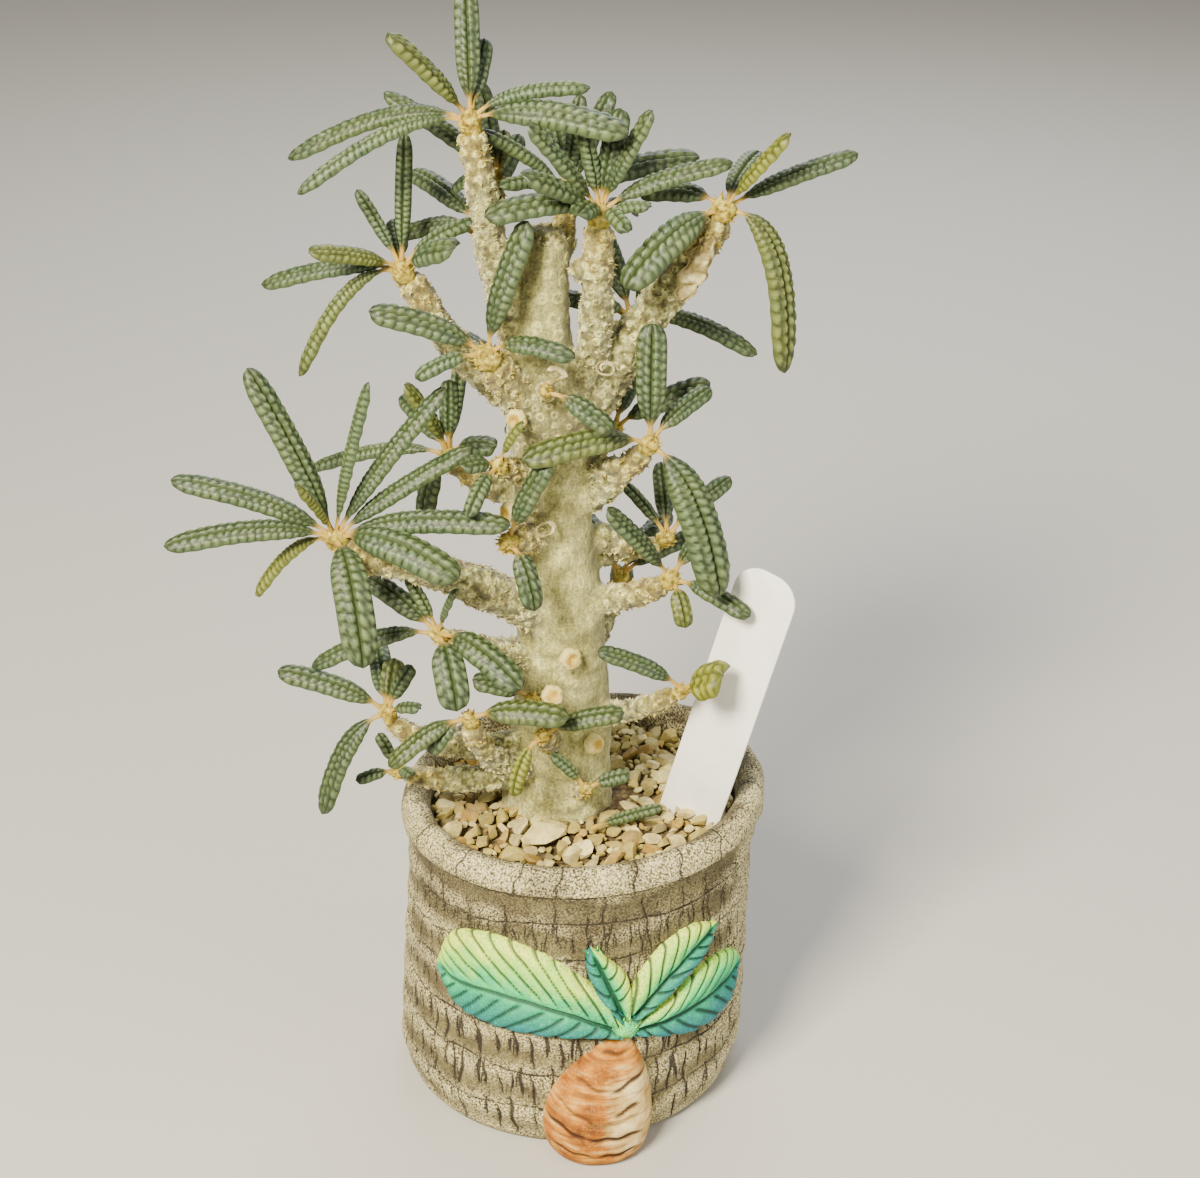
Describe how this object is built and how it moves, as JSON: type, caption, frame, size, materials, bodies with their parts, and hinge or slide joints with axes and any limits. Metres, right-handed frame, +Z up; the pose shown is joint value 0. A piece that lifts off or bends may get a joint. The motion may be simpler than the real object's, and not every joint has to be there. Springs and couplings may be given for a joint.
{
  "type": "potted dorstenia gigas",
  "caption": "Caudex plant with a swollen stem, scarred branches and rosettes of blistered leaves, in gritty mix in a bark-textured clay pot with raised leaves, with a bare plant label.",
  "frame": {"origin": "middle of the pot's foot, on the surface the pot stands on", "axes": "+Z up, +X to the right of a viewer who faces the pot's raised leaves, -Y towards that viewer"},
  "size_m": [0.1918, 0.1482, 0.3403],
  "materials": {
    "pot": "matte",
    "grit": "matte",
    "bark": "matte",
    "leaf": "satin",
    "flower_head": "matte",
    "dry_leaf": "matte",
    "label": "satin"
  },
  "bodies": {
    "root": {"pot": "pot", "grit": "grit", "caudex": "bark", "leaves_top_left": "leaf", "leaves_top_left_side": "leaf", "leaves_top_back": "leaf", "leaves_top_middle": "leaf", "leaves_right_arm": "leaf", "leaves_left_upper": "leaf", "leaves_front_stub": "leaf", "leaves_front_bud": "leaf", "leaves_left_inner": "leaf", "leaves_left_back": "leaf", "leaves_left_arm": "leaf", "leaves_front_knob": "leaf", "leaves_left_low": "leaf", "leaves_left_lower": "leaf", "leaves_left_rim": "leaf", "leaves_front_low": "leaf", "leaves_front_middle": "leaf", "leaves_grit_arm": "leaf", "leaves_base_sprout": "leaf", "leaves_right_middle": "leaf", "leaves_right_bud": "leaf", "leaves_right_low": "leaf", "leaves_right_back": "leaf", "leaves_right_base": "leaf", "leaves_back_right": "leaf", "leaves_back_left": "leaf", "leaves_back_arm": "leaf", "leaves_back_low": "leaf", "flower_head_1": "flower_head", "flower_head_2": "flower_head", "flower_head_3": "flower_head", "flower_head_4": "flower_head", "flower_head_5": "flower_head", "flower_head_6": "flower_head", "dry_leaf": "dry_leaf", "fallen_leaf": "leaf", "label": "label"}
  },
  "joints": []
}
